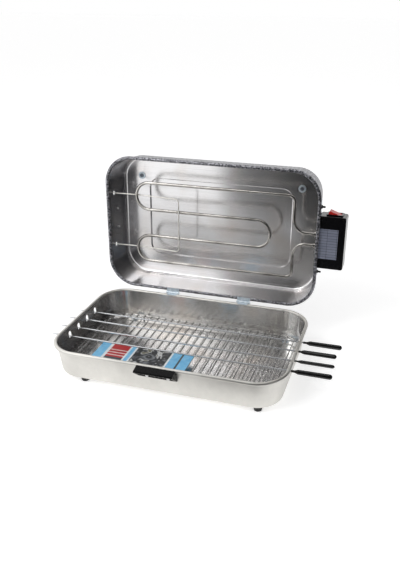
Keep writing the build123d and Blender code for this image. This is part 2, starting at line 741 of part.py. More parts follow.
# Switch box housing: open towards the camera side, closed there by the cover
cover_back = box_setback + cover_thickness
box_back = box_setback + box_thickness
box_front_wall = -box_span / 2
boss_x = box_reach / 2 - cover_screw_inset
boss_y = box_span / 2 - cover_screw_inset
switch_x = box_middle + switch_offset
switch_level = (cover_back + box_back) / 2
switch_plane = lid_at(switch_x, box_front_wall, switch_level, normal=(0, -1, 0))
cover_screw_places = [lid_at(box_middle + sx * boss_x, sy * boss_y, box_setback)
                      for sx in (-1, 1) for sy in (-1, 1)]
bush_plane = lid_at(box_middle, box_span / 2 - bush_end_gap, box_back)
with BuildPart() as box_housing:
    with BuildSketch(lid_at(box_middle, 0, cover_back)):
        RectangleRounded(box_reach, box_span, box_corner)
    extrude(amount=box_back - cover_back)
    fillet(box_housing.faces().sort_by(Axis(lid_plane.origin, lid_plane.z_dir))[-1].edges(), box_corner / 2)
    with BuildSketch(lid_at(box_middle, 0, cover_back)):
        RectangleRounded(box_reach - 2 * box_wall, box_span - 2 * box_wall, box_corner - box_wall)
    extrude(amount=box_back - cover_back - box_wall, mode=Mode.SUBTRACT)
    with BuildSketch(lid_at(box_middle, 0, cover_back)):
        with GridLocations(2 * boss_x, 2 * boss_y, 2, 2):
            Circle(boss_radius)
    extrude(amount=box_back - cover_back - box_wall / 2)
    cut_round(cover_screw_places, cover_screw_radius + fit_gap, cover_screw_length + box_wall)
    with BuildSketch(switch_plane):
        Rectangle(switch_length + 2 * touch_gap, switch_width + 2 * touch_gap)
    extrude(amount=box_wall + touch_gap, both=True, mode=Mode.SUBTRACT)
    with Locations(*[lid_at(bracket_face, row, element_height, across=(0, 1, 0), normal=(1, 0, 0))
                     for row in terminal_rows]):
        Cylinder(gland_radius + fit_gap, 4 * box_wall, mode=Mode.SUBTRACT)
    with Locations(bush_plane):
        Cylinder(bush_neck_radius + fit_gap, 4 * box_wall, mode=Mode.SUBTRACT)
save(box_housing, "box_housing")

with BuildPart() as box_cover:
    with BuildSketch(lid_at(box_middle, 0, box_setback)):
        RectangleRounded(box_reach, box_span, box_corner)
    extrude(amount=cover_thickness)
    fillet(box_cover.faces().sort_by(Axis(lid_plane.origin, lid_plane.z_dir))[0].edges(), cover_round)
    cut_round(cover_screw_places, cover_screw_radius + fit_gap, cover_thickness)
    cut_round(cover_screw_places, cover_screw_head_radius + fit_gap, cover_screw_head_height)
save(box_cover, "box_cover")

with BuildPart() as cover_screws:
    with Locations(*cover_screw_places):
        Cylinder(cover_screw_head_radius, cover_screw_head_height, align=(Align.CENTER, Align.CENTER, Align.MIN))
        Cylinder(cover_screw_radius, cover_screw_length, align=(Align.CENTER, Align.CENTER, Align.MIN))
        Box(cover_screw_head_radius, screw_cross_width, cover_screw_head_height, mode=Mode.SUBTRACT)
save(cover_screws, "cover_screws")

with BuildPart() as blank_plate:
    with BuildSketch(lid_at(bracket_face + plate_left_inset + plate_width / 2, plate_offset, box_setback)):
        Rectangle(plate_width, plate_height)
    extrude(amount=-plate_thickness)
save(blank_plate, "blank_plate")

# Rocker switch
pivot_plane = switch_plane.offset(rocker_pivot_height)
with BuildPart() as switch_body:
    with BuildSketch(switch_plane):
        RectangleRounded(bezel_length, bezel_width, bezel_height)
    extrude(amount=bezel_height)
    with BuildSketch(switch_plane):
        Rectangle(switch_length, switch_width)
    extrude(amount=-switch_depth)
    with BuildSketch(pivot_plane):
        Rectangle(2 * (rocker_radius + touch_gap), rocker_width + 2 * touch_gap)
    extrude(amount=-rocker_well_depth, mode=Mode.SUBTRACT)
    with BuildSketch(pivot_plane):
        Rectangle(2 * (rocker_radius + touch_gap), rocker_width + 2 * touch_gap)
    extrude(amount=bezel_height, mode=Mode.SUBTRACT)
    with Locations(pivot_plane):
        Cylinder(trunnion_radius + fit_gap, rocker_width + 2 * (trunnion_length + touch_gap),
                 rotation=(90, 0, 0), mode=Mode.SUBTRACT)
save(switch_body, "switch_body")

tilt = math.radians(rocker_tilt)
tilted_along = Vector(*pivot_plane.x_dir) * math.cos(tilt) - Vector(*pivot_plane.z_dir) * math.sin(tilt)
rocker_side = Plane(origin=pivot_plane.origin, x_dir=tilted_along, z_dir=-pivot_plane.y_dir)
with BuildPart() as switch_rocker:
    with BuildSketch(rocker_side):
        Circle(rocker_radius)
        with Locations((0, (rocker_top - rocker_bottom) / 2)):
            Rectangle(2 * rocker_radius, rocker_top + rocker_bottom, mode=Mode.INTERSECT)
    extrude(amount=rocker_width / 2, both=True)
    top_face = switch_rocker.faces().sort_by(Axis(rocker_side.origin, rocker_side.y_dir))[-1]
    fillet(top_face.edges(), rocker_round)
    with BuildSketch(rocker_side):
        Circle(trunnion_radius)
    extrude(amount=rocker_width / 2 + trunnion_length, both=True)
save(switch_rocker, "switch_rocker")

blade_places = (-blade_pitch / 2, blade_pitch / 2)
with BuildPart() as switch_blades:
    with BuildSketch(switch_plane.offset(-switch_depth)):
        with Locations(*[(place, 0) for place in blade_places]):
            Rectangle(blade_thickness, blade_width)
    extrude(amount=-blade_length)
save(switch_blades, "switch_blades")

# Heating element: one bent tube with both ends through the right wall
bend = element_pitch / 2 - element_bend_slack
element_end = bracket_face + box_wall + gland_nut_height + gland_end
left_turn = element_left_inset - body_length / 2
right_turn = body_length / 2 - element_right_inset
riser = body_length / 2 - element_riser_inset
outer_run = 3 * element_pitch / 2
inner_run = element_pitch / 2
terminal_run = element_terminal_pitch / 2
element_route = [
    (element_end, -terminal_run), (riser, -terminal_run), (riser, -outer_run),
    (left_turn, -outer_run), (left_turn, -inner_run), (right_turn, -inner_run),
    (right_turn, inner_run), (left_turn, inner_run), (left_turn, outer_run),
    (riser, outer_run), (riser, terminal_run), (element_end, terminal_run)]
element_bends = [element_terminal_radius, element_corner_radius, bend, bend, bend, bend, bend, bend,
                 element_corner_radius, element_terminal_radius]
with BuildPart() as heating_element:
    with BuildLine() as element_line:
        FilletPolyline(*[lid_plane.from_local_coords(Vector(x, y, element_height)) for x, y in element_route],
                       radius=element_bends)
    element_wire = element_line.wire()
    with BuildSketch(Plane(origin=element_wire @ 0, z_dir=element_wire % 0)):
        Circle(element_radius)
    sweep(path=element_wire)
save(heating_element, "heating_element")


def terminal_planes(x):
    """Planes across both element ends at a distance from the lid's middle, facing out of the lid."""
    return [lid_at(x, row, element_height, across=(0, 1, 0), normal=(1, 0, 0)) for row in terminal_rows]


wall_face = body_length / 2 - lid_wall(element_height) - sheet
with BuildPart() as element_glands:
    with Locations(*terminal_planes(wall_face)):
        Cylinder(gland_head_radius, gland_head_height + lid_draft, align=(Align.CENTER, Align.CENTER, Align.MAX))
        with Locations((0, 0, lid_draft)):
            Cylinder(gland_head_radius, 2 * lid_draft, align=(Align.CENTER, Align.CENTER, Align.MAX))
    add(dish(lid_plane, wall_inset + sheet, lid_rise - sheet, lid_taper, lid_edge - sheet), mode=Mode.INTERSECT)
    with Locations(*terminal_planes(wall_face)):
        Cylinder(gland_radius, element_end - wall_face, align=(Align.CENTER, Align.CENTER, Align.MIN))
        Cylinder(element_radius, 4 * (element_end - wall_face), mode=Mode.SUBTRACT)
save(element_glands, "element_glands")

with BuildPart() as gland_nuts:
    with Locations(*terminal_planes(bracket_face + box_wall)):
        with BuildSketch(*terminal_planes(bracket_face + box_wall)):
            RegularPolygon(gland_nut_radius, 6)
            Circle(gland_radius + fit_gap, mode=Mode.SUBTRACT)
    extrude(amount=gland_nut_height)
save(gland_nuts, "gland_nuts")

with BuildPart() as element_insulators:
    with Locations(*terminal_planes(element_end)):
        Cylinder(insulator_radius, insulator_length, align=(Align.CENTER, Align.CENTER, Align.MIN))
        Cylinder(terminal_pin_radius, insulator_length, align=(Align.CENTER, Align.CENTER, Align.MIN),
                 mode=Mode.SUBTRACT)
save(element_insulators, "element_insulators")

with BuildPart() as terminal_pins:
    with Locations(*terminal_planes(element_end)):
        Cylinder(terminal_pin_radius, insulator_length + terminal_pin_length,
                 align=(Align.CENTER, Align.CENTER, Align.MIN))
save(terminal_pins, "terminal_pins")

# Support wire: hooked into the left wall, under the element's end loops and over its inner runs
wire_clear = element_radius + wire_radius + touch_gap
wire_end = -right_wall - wire_tail
wire_bar = wire_bar_inset - body_length / 2
wire_route = [
    (wire_end, -element_pitch, wire_hook_height), (left_turn, -element_pitch, element_height + wire_clear),
    (wire_bar, -element_pitch, element_height - wire_clear), (wire_bar, element_pitch, element_height - wire_clear),
    (left_turn, element_pitch, element_height + wire_clear), (wire_end, element_pitch, wire_hook_height)]
with BuildPart() as support_wire:
    with BuildLine() as wire_line:
        FilletPolyline(*[lid_plane.from_local_coords(Vector(*point)) for point in wire_route],
                       radius=[wire_sag_radius, wire_corner_radius, wire_corner_radius, wire_sag_radius])
    wire_path = wire_line.wire()
    with BuildSketch(Plane(origin=wire_path @ 0, z_dir=wire_path % 0)):
        Circle(wire_radius)
    sweep(path=wire_path)
save(support_wire, "support_wire")

# Terminal block on the box's back wall, the leads and the cord bush
block_face = box_back - box_wall
block_back = box_span / 2 - block_end_gap
with BuildPart() as terminal_block:
    with BuildSketch(lid_at(box_middle, block_back - block_width / 2, block_face)):
        Rectangle(block_length, block_width)
    extrude(amount=-block_height)
save(terminal_block, "terminal_block")

pin_tip = element_end + insulator_length + terminal_pin_length
block_low = block_face - block_height
block_front = block_back - block_width
block_level = block_face - block_height / 2
blade_tip = box_front_wall + switch_depth + blade_length
first_blade, second_blade = [switch_x + place for place in blade_places]
first_turn = (blade_tip - terminal_run) / 2
second_turn = (blade_tip + block_front) / 2
lead_routes = (
    [(pin_tip, -terminal_run, element_height), (first_blade, -terminal_run, element_height),
     (first_blade, first_turn, switch_level), (first_blade, blade_tip, switch_level)],
    [(pin_tip, terminal_run, element_height), (box_middle, terminal_run, element_height),
     (box_middle, terminal_run, block_low)],
    [(second_blade, blade_tip, switch_level), (second_blade, second_turn, switch_level),
     (second_blade, second_turn, block_level), (second_blade, block_front, block_level)])
with BuildPart() as box_leads:
    for route in lead_routes:
        with BuildLine() as lead_line:
            FilletPolyline(*[lid_plane.from_local_coords(Vector(*point)) for point in route], radius=lead_bend)
        lead_path = lead_line.wire()
        with BuildSketch(Plane(origin=lead_path @ 0, z_dir=lead_path % 0)):
            Circle(lead_radius)
        sweep(path=lead_path)
save(box_leads, "box_leads")

with BuildPart() as cord_bush:
    with Locations(bush_plane):
        Cone(bush_radius, bush_neck_radius, bush_height, align=(Align.CENTER, Align.CENTER, Align.MIN))
        Cylinder(bush_neck_radius, box_wall, align=(Align.CENTER, Align.CENTER, Align.MAX))
        Cylinder(bush_bore, 4 * bush_height, mode=Mode.SUBTRACT)
save(cord_bush, "cord_bush")

# Set everything down with the origin under the middle of the whole
middle = Compound(list(pieces.values())).bounding_box().center()
for name, piece in pieces.items():
    set_down = piece.moved(Location((-middle.X, -middle.Y, 0)))
    set_down.label = name
    export_step(set_down, f"parts/{name}.step")
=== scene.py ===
import json
import math

import bmesh
import bpy
from mathutils import Matrix, Vector


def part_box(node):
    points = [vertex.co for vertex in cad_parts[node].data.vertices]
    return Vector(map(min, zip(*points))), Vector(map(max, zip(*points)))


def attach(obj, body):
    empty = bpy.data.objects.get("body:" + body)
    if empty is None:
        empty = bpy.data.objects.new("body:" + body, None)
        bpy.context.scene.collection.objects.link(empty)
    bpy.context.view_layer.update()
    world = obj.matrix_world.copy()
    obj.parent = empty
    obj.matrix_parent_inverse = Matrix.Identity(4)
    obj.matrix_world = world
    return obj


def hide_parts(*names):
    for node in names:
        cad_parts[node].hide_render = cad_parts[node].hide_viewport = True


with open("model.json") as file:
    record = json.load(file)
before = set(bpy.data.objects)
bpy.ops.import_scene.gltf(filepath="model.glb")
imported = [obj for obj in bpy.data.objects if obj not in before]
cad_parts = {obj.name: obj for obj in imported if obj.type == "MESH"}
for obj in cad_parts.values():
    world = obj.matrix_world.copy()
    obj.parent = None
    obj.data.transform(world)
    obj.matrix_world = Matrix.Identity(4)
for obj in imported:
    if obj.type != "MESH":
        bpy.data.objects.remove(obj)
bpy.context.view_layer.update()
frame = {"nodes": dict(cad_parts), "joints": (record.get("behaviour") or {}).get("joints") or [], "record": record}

# Tray: a pan drawn from aluminium sheet, its edge rolled into a bead and its end walls pierced for the skewers.
# The outside keeps the satin of the rolled sheet, the inside is brushed. Everything else stands on it or in it.
MM = 0.001
body_of = {node: body for body, nodes in frame["record"]["behaviour"]["bodies"].items() for node in nodes}
slot_of = {piece["node"]: piece["material_slot"] for piece in frame["record"]["subparts"]}


def linear(hex_colour):
    """An sRGB hex colour as the linear colour that a shader takes."""
    channels = [int(hex_colour[digit:digit + 2], 16) / 255 for digit in (1, 3, 5)]
    return [c / 12.92 if c <= 0.04045 else ((c + 0.055) / 1.055) ** 2.4 for c in channels] + [1]


def add(tree, kind, inputs=None, **settings):
    """Add a node, with its settings, and its inputs set to values or linked to other nodes' sockets."""
    new = tree.nodes.new(kind)
    for name, value in settings.items():
        setattr(new, name, value)
    for name, value in (inputs or {}).items():
        if isinstance(value, bpy.types.NodeSocket):
            tree.links.new(value, new.inputs[name])
        else:
            new.inputs[name].default_value = value
    return new


def begin_material(name, **sockets):
    """A new material, its node tree and its shader with these sockets set."""
    material = bpy.data.materials.new(name)
    material.use_nodes = True
    shader = material.node_tree.nodes["Principled BSDF"]
    for socket, value in sockets.items():
        shader.inputs[socket.replace("_", " ")].default_value = value
    return material, material.node_tree, shader


def mottled(name, dark, pale, grain, smooth, rough, relief=0.0, **sockets):
    """A material whose tone and gloss drift over a grain of this size, with a skin raised by the relief."""
    least, most = 0.32, 0.68
    material, tree, shader = begin_material(name, **sockets)
    place = add(tree, "ShaderNodeTexCoord")
    drift = add(tree, "ShaderNodeTexNoise", {
        "Vector": place.outputs["Object"], "Scale": 1 / grain, "Detail": 4.0, "Roughness": 0.6})
    tone = add(tree, "ShaderNodeValToRGB", {"Fac": drift.outputs["Fac"]})
    for stop, position, colour in zip(tone.color_ramp.elements, (least, most), (dark, pale)):
        stop.position = position
        stop.color = linear(colour)
    gloss = add(tree, "ShaderNodeMapRange", {
        "Value": drift.outputs["Fac"], "From Min": least, "From Max": most, "To Min": smooth, "To Max": rough})
    tree.links.new(tone.outputs["Color"], shader.inputs["Base Color"])
    tree.links.new(gloss.outputs["Result"], shader.inputs["Roughness"])
    if relief:
        skin = add(tree, "ShaderNodeBump", {"Height": drift.outputs["Fac"], "Distance": relief, "Strength": 0.5})
        tree.links.new(skin.outputs["Normal"], shader.inputs["Normal"])
    return material


def brushed(name, dark, pale, browned, smooth, rough, line_length, line_width, relief, anisotropy):
    """Metal brushed along the U of its brush map: fine lines, dull patches, and a browning where it was hottest.

    End walls are brushed across, and a painted shade darkens them as far as the end_wall attribute reaches.
    """
    least, most = 0.3, 0.7
    patch_size = 80 * MM
    warm, hot, deepest_browning = 0.5, 0.8, 0.45
    painted_end_shade = linear("#acacb0")
    material, tree, shader = begin_material(
        name, Metallic=1.0, Anisotropic=anisotropy, Anisotropic_Rotation=0.25)
    brush = add(tree, "ShaderNodeUVMap", uv_map="brush")
    stretch = add(tree, "ShaderNodeMapping", {
        "Vector": brush.outputs["UV"], "Scale": (1 / line_length, 1 / line_width, 1)})
    lines = add(tree, "ShaderNodeTexNoise", {
        "Vector": stretch.outputs["Vector"], "Scale": 1.0, "Detail": 3.0, "Roughness": 0.65})
    patches = add(tree, "ShaderNodeTexNoise", {
        "Vector": brush.outputs["UV"], "Scale": 1 / patch_size, "Detail": 1.0})
    tone = add(tree, "ShaderNodeValToRGB", {"Fac": lines.outputs["Fac"]})
    for stop, position, colour in zip(tone.color_ramp.elements, (least, most), (dark, pale)):
        stop.position = position
        stop.color = linear(colour)
    heat = add(tree, "ShaderNodeMapRange", {
        "Value": patches.outputs["Fac"], "From Min": warm, "From Max": hot, "To Max": deepest_browning})
    stained = add(tree, "ShaderNodeMix", {
        "Factor": heat.outputs["Result"], "A": tone.outputs["Color"], "B": linear(browned)}, data_type="RGBA")
    # Painted shade: the end walls' colour is multiplied by a grey as far as the end_wall attribute reaches.
    ends = add(tree, "ShaderNodeAttribute", attribute_name="end_wall")
    shade_painted_on_ends = add(tree, "ShaderNodeMix", {
        "Factor": ends.outputs["Fac"], "A": stained.outputs["Result"], "B": painted_end_shade},
        data_type="RGBA", blend_type="MULTIPLY")
    gloss = add(tree, "ShaderNodeMapRange", {
        "Value": patches.outputs["Fac"], "From Min": least, "From Max": most, "To Min": smooth, "To Max": rough})
    skin = add(tree, "ShaderNodeBump", {"Height": lines.outputs["Fac"], "Distance": relief, "Strength": 0.1})
    lie = add(tree, "ShaderNodeTangent", direction_type="UV_MAP", uv_map="brush")
    tree.links.new(shade_painted_on_ends.outputs["Result"], shader.inputs["Base Color"])
    tree.links.new(gloss.outputs["Result"], shader.inputs["Roughness"])
    tree.links.new(skin.outputs["Normal"], shader.inputs["Normal"])
    tree.links.new(lie.outputs["Tangent"], shader.inputs["Tangent"])
    return material


def own_copy(node, name, *materials, sharp_angle=34, edge=0.0):
    """A copy of a CAD node with its triangles joined, smooth but for its sharp edges, that stands for it."""
    same_point = 0.004 * MM
    same_plane = math.radians(0.4)
    mesh = frame["nodes"][node].data.copy()
    mesh.name = name
    if "custom_normal" in mesh.attributes:
        mesh.attributes.remove(mesh.attributes["custom_normal"])
    form = bmesh.new()
    form.from_mesh(mesh)
    bmesh.ops.remove_doubles(form, verts=form.verts, dist=same_point)
    if edge:
        bmesh.ops.dissolve_limit(form, angle_limit=same_plane, verts=form.verts, edges=form.edges)
    for face in form.faces:
        face.smooth = True
        face.material_index = 0
    for side in form.edges:
        side.smooth = side.calc_face_angle(math.pi) < math.radians(sharp_angle)
    form.to_mesh(mesh)
    form.free()
    mesh.materials.clear()
    for material in materials:
        mesh.materials.append(material)
    piece = bpy.data.objects.new(name, mesh)
    bpy.context.scene.collection.objects.link(piece)
    if edge:
        rounding = piece.modifiers.new("broken edges", "BEVEL")
        rounding.width = edge
        rounding.segments = 2
        rounding.limit_method = "ANGLE"
        rounding.angle_limit = math.radians(sharp_angle)
    flats = piece.modifiers.new("flat faces", "WEIGHTED_NORMAL")
    flats.keep_sharp = True
    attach(piece, body_of[node])
    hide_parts(node)
    return piece


def brush_map(mesh, turn):
    """A UV map in metres whose U runs along the sheet's brushing: the length, or the width on end walls.

    The end_wall attribute goes from nought to one as the sheet bends round to face an end, and sets the painted
    shade there. The turn is the one that carries the closed pan to where it stands.
    """
    end_begins, end_is_full = 0.4, 0.9
    lies_level, stands_on_end = 0.7, 0.75
    layer = mesh.uv_layers.new(name="brush")
    ends = mesh.attributes.new("end_wall", "FLOAT", "POINT")
    back = turn.inverted()
    for vertex in mesh.vertices:
        sideways = abs((back.to_3x3() @ vertex.normal).x)
        share = (sideways - end_begins) / (end_is_full - end_begins)
        ends.data[vertex.index].value = min(max(share, 0.0), 1.0)
    for face in mesh.polygons:
        normal = back.to_3x3() @ face.normal
        for loop in face.loop_indices:
            x, y, z = back @ mesh.vertices[mesh.loops[loop].vertex_index].co
            if abs(normal.z) > lies_level:
                layer.data[loop].uv = (x, y)
            elif abs(normal.x) > stands_on_end:
                layer.data[loop].uv = (y, z)
            else:
                layer.data[loop].uv = (x, z)


# Satin sheet scatters light so softly that the wall looks matt, with a few dull smears. Brushed sheet draws its
# reflections out across the lines. The floor is worn by the rack and shows the bars again, a little blurred. Real
# lines are a tenth of a millimetre wide and are drawn coarser to show.
satin_sheet = mottled("aluminium sheet, rolled satin", "#cfcdc8", "#e3e1dc", 55 * MM, 0.40, 0.52, Metallic=1.0)
brushed_sheet = brushed("aluminium sheet, brushed", "#efeeec", "#fcfbf9", "#e2d2c0", 0.16, 0.22,
                        line_length=120 * MM, line_width=1.1 * MM, relief=0.01 * MM, anisotropy=0.75)
worn_sheet = brushed("aluminium sheet, brushed and worn", "#e8e7e6", "#fafaf9", "#decdba", 0.18, 0.26,
                     line_length=60 * MM, line_width=1.4 * MM, relief=0.004 * MM, anisotropy=0.35)
tray = own_copy("base_tray", "tray", satin_sheet, brushed_sheet, worn_sheet)
tray_low, tray_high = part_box("base_tray")
tray_middle = (tray_low + tray_high) / 2
bead_depth = 5 * MM
leans_open, leans_in, lies_flat = 0.3, 0.2, 0.9
for face in tray.data.polygons:
    inward = Vector((tray_middle.x - face.center.x, tray_middle.y - face.center.y, 0)).normalized()
    faces_in = face.normal.z > leans_open or face.normal.dot(inward) > leans_in
    if faces_in and face.center.z < tray_high.z - bead_depth:
        face.material_index = 2 if face.normal.z > lies_flat else 1
brush_map(tray.data, Matrix.Identity(4))

# Feet: four cones moulded in black rubber, each held under the floor by a cross-head screw with a wide washer
# inside and a nut sunk in the foot. The screws, washers and nuts are steel with bright zinc plating.
# Moulded rubber is dull, with a faintly pitted skin. Bright zinc is a cool mirror, a little clouded.
rubber = mottled("rubber, moulded black", "#0a0a0a", "#1b1b1b", 4 * MM, 0.55, 0.75, relief=0.05 * MM, IOR=1.52)
zinc = mottled("steel, bright zinc plated", "#aeb7bf", "#d5dce2", 8 * MM, 0.22, 0.36, Metallic=1.0)
for corner in ("front_left", "front_right", "rear_left", "rear_right"):
    own_copy(f"base_foot_{corner}", f"tray_foot_{corner}", rubber)
for kind in ("screws", "washers", "nuts"):
    own_copy(f"base_foot_{kind}", f"tray_foot_{kind}", zinc)

# Front handle: a hollow hood moulded in black bakelite, with its edges just broken. Two soft aluminium rivets
# under the hood hold it to the front wall. The hood's reflection is turned down as a painted shade, so it stays
# near black with one weak highlight, and the rivets are pale and dull.
# Painted shade: the low specular level dims the hood's reflections.
hood_black_painted_shade = mottled("bakelite, moulded black and rubbed dull", "#030304", "#070708", 6 * MM, 0.22, 0.34,
                     IOR=1.6, Specular_IOR_Level=0.1)
hood_edge = 0.5 * MM
own_copy("front_handle", "front_hood_handle", hood_black_painted_shade, edge=hood_edge)
soft_rivet = mottled("aluminium rivet, domed", "#c4c4c4", "#ebebeb", 3 * MM, 0.35, 0.5, Metallic=0.5)
own_copy("front_handle_rivets", "front_handle_rivet_pair", soft_rivet)

# Rack: straight wires spot-welded across a bent wire frame on four legs. It stands on the floor of the tray. One
# tree bends the frame and the rails, one lays the bars and one the welds. Bright plating gives each wire a hard
# highlight along its length, broken by a film of grease.
plated = mottled("steel wire, bright plated", "#8d8b89", "#d2d2d0", 14 * MM, 0.14, 0.3, Metallic=1.0)


def begin_tree(name, sockets):
    """A geometry tree that takes a geometry and these named inputs, and its input's sockets."""
    tree = bpy.data.node_groups.new(name, "GeometryNodeTree")
    tree.interface.new_socket("Geometry", in_out="INPUT", socket_type="NodeSocketGeometry")
    for socket, kind in sockets.items():
        tree.interface.new_socket(socket, in_out="INPUT", socket_type=kind)
    tree.interface.new_socket("Geometry", in_out="OUTPUT", socket_type="NodeSocketGeometry")
    return tree, add(tree, "NodeGroupInput").outputs


def end_tree(tree, geometry, material):
    """The end of a geometry tree: its instances made real, smooth and coated with the material."""
    whole = add(tree, "GeometryNodeRealizeInstances", {"Geometry": geometry})
    smooth = add(tree, "GeometryNodeSetShadeSmooth", {"Geometry": whole.outputs["Geometry"]})
    coated = add(tree, "GeometryNodeSetMaterial", {
        "Geometry": smooth.outputs["Geometry"], "Material": material})
    add(tree, "NodeGroupOutput", {"Geometry": coated.outputs["Geometry"]})


def grow(name, tree, points, edges, values, bend=None):
    """A plain mesh that a geometry tree grows from points and edges, with the tree's inputs set by name."""
    seed = bpy.data.meshes.new(name)
    seed.from_pydata([tuple(point) for point in points], edges, [])
    if bend:
        seed.attributes.new("bend", "FLOAT", "POINT").data.foreach_set("value", bend)
    piece = bpy.data.objects.new(name, seed)
    bpy.context.scene.collection.objects.link(piece)
    modifier = piece.modifiers.new(name, "NODES")
    modifier.node_group = tree
    for socket in tree.interface.items_tree:
        if socket.in_out == "INPUT" and socket.name in values:
            modifier[socket.identifier] = values[socket.name]
    grown = piece.evaluated_get(bpy.context.evaluated_depsgraph_get())
    piece.data = bpy.data.meshes.new_from_object(grown)
    piece.data.name = name
    piece.modifiers.remove(modifier)
    bpy.data.meshes.remove(seed)
    return piece


def stands_for(piece, body, slot, *nodes):
    """A grown piece rides on its body and stands for the CAD nodes, if any. Its slot is not used."""
    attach(piece, body)
    if nodes:
        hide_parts(*nodes)


bent_wire, given = begin_tree("bent wire", {
    "Wire radius": "NodeSocketFloat", "Sides": "NodeSocketInt", "Material": "NodeSocketMaterial"})
steps_per_bend = 14
route = add(bent_wire, "GeometryNodeMeshToCurve", {"Mesh": given["Geometry"]})
bend_radius = add(bent_wire, "GeometryNodeInputNamedAttribute", {"Name": "bend"}, data_type="FLOAT")
rounded = add(bent_wire, "GeometryNodeFilletCurve", {
    "Curve": route.outputs["Curve"], "Radius": bend_radius.outputs["Attribute"], "Count": steps_per_bend,
    "Limit Radius": True}, mode="POLY")
section = add(bent_wire, "GeometryNodeCurvePrimitiveCircle", {
    "Radius": given["Wire radius"], "Resolution": given["Sides"]})
wire = add(bent_wire, "GeometryNodeCurveToMesh", {
    "Curve": rounded.outputs["Curve"], "Profile Curve": section.outputs["Curve"], "Fill Caps": True})
end_tree(bent_wire, wire.outputs["Mesh"], given["Material"])

frame_low, frame_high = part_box("rack_frame")
frame_radius = 2.0 * MM
frame_corner = 36.0 * MM
leg_inset = 72.0 * MM
frame_x = (frame_high.x - frame_low.x) / 2 - frame_radius
frame_y = (frame_high.y - frame_low.y) / 2 - frame_radius
frame_z = frame_high.z - frame_radius
leg_x = frame_x - leg_inset
ring = [(-frame_x, -frame_y), (frame_x, -frame_y), (frame_x, frame_y), (-frame_x, frame_y)]
points = [(tray_middle.x + x, tray_middle.y + y, frame_z) for x, y in ring]
edges = [(0, 1), (1, 2), (2, 3), (3, 0)]
for x, y in ((sx * leg_x, sy * frame_y) for sx in (-1, 1) for sy in (-1, 1)):
    edges.append((len(points), len(points) + 1))
    points += [(tray_middle.x + x, tray_middle.y + y, z) for z in (frame_z, frame_low.z)]
rack_frame = grow("rack_frame_wire", bent_wire, points, edges, {
    "Wire radius": frame_radius, "Sides": 20, "Material": plated},
    bend=[frame_corner] * len(ring) + [0.0] * (len(points) - len(ring)))
stands_for(rack_frame, "base", "rack_chrome", "rack_frame")

rail_low, rail_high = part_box("rack_rails")
rail_radius = (rail_high.z - rail_low.z) / 2
rail_z = (rail_high.z + rail_low.z) / 2
rail_rows = (rail_low.y + rail_radius, rail_high.y - rail_radius)
rail_ends = [(x, y, rail_z) for y in rail_rows for x in (rail_low.x, rail_high.x)]
rack_rails = grow("rack_rail_wires", bent_wire, rail_ends, [(0, 1), (2, 3)], {
    "Wire radius": rail_radius, "Sides": 16, "Material": plated}, bend=[0.0] * len(rail_ends))
stands_for(rack_rails, "base", "rack_chrome", "rack_rails")

# The bars lie side by side across the frame. Those over its rounded corners are shorter, by the corner's arc.
cross_bars, given = begin_tree("cross bars", {
    "Bars": "NodeSocketInt", "Pitch": "NodeSocketFloat", "Wire radius": "NodeSocketFloat",
    "Half width": "NodeSocketFloat", "Straight": "NodeSocketFloat", "Corner": "NodeSocketFloat",
    "Material": "NodeSocketMaterial"})
step = add(cross_bars, "ShaderNodeCombineXYZ", {"X": given["Pitch"]})
row = add(cross_bars, "GeometryNodeMeshLine", {"Count": given["Bars"], "Offset": step.outputs["Vector"]})
spaces = add(cross_bars, "ShaderNodeMath", {0: given["Bars"], 1: 1.0}, operation="SUBTRACT")
span = add(cross_bars, "ShaderNodeMath", {0: spaces.outputs[0], 1: given["Pitch"]}, operation="MULTIPLY")
half = add(cross_bars, "ShaderNodeMath", {0: span.outputs[0], 1: -0.5}, operation="MULTIPLY")
shift = add(cross_bars, "ShaderNodeCombineXYZ", {"X": half.outputs[0]})
centred = add(cross_bars, "GeometryNodeSetPosition", {
    "Geometry": row.outputs["Mesh"], "Offset": shift.outputs["Vector"]})
bar_place = add(cross_bars, "ShaderNodeSeparateXYZ", {
    "Vector": add(cross_bars, "GeometryNodeInputPosition").outputs["Position"]})
away = add(cross_bars, "ShaderNodeMath", {0: bar_place.outputs["X"]}, operation="ABSOLUTE")
past = add(cross_bars, "ShaderNodeMath", {0: away.outputs[0], 1: given["Straight"]}, operation="SUBTRACT")
into = add(cross_bars, "ShaderNodeMath", {0: past.outputs[0], 1: 0.0}, operation="MAXIMUM")
into_squared = add(cross_bars, "ShaderNodeMath", {0: into.outputs[0], 1: 2.0}, operation="POWER")
corner_squared = add(cross_bars, "ShaderNodeMath", {0: given["Corner"], 1: 2.0}, operation="POWER")
rise_squared = add(cross_bars, "ShaderNodeMath", {
    0: corner_squared.outputs[0], 1: into_squared.outputs[0]}, operation="SUBTRACT")
rise = add(cross_bars, "ShaderNodeMath", {0: rise_squared.outputs[0]}, operation="SQRT")
flat = add(cross_bars, "ShaderNodeMath", {0: given["Half width"], 1: given["Corner"]}, operation="SUBTRACT")
half_bar = add(cross_bars, "ShaderNodeMath", {0: flat.outputs[0], 1: rise.outputs[0]}, operation="ADD")
bar_scale = add(cross_bars, "ShaderNodeCombineXYZ", {"X": 1.0, "Y": half_bar.outputs[0], "Z": 1.0})
line = add(cross_bars, "GeometryNodeCurvePrimitiveLine", {"Start": (0, -1, 0), "End": (0, 1, 0)})
laid = add(cross_bars, "GeometryNodeInstanceOnPoints", {
    "Points": centred.outputs["Geometry"], "Instance": line.outputs["Curve"],
    "Scale": bar_scale.outputs["Vector"]})
lines_laid = add(cross_bars, "GeometryNodeRealizeInstances", {"Geometry": laid.outputs["Instances"]})
section = add(cross_bars, "GeometryNodeCurvePrimitiveCircle", {
    "Radius": given["Wire radius"], "Resolution": 16})
wire = add(cross_bars, "GeometryNodeCurveToMesh", {
    "Curve": lines_laid.outputs["Geometry"], "Profile Curve": section.outputs["Curve"], "Fill Caps": True})
end_tree(cross_bars, wire.outputs["Mesh"], given["Material"])

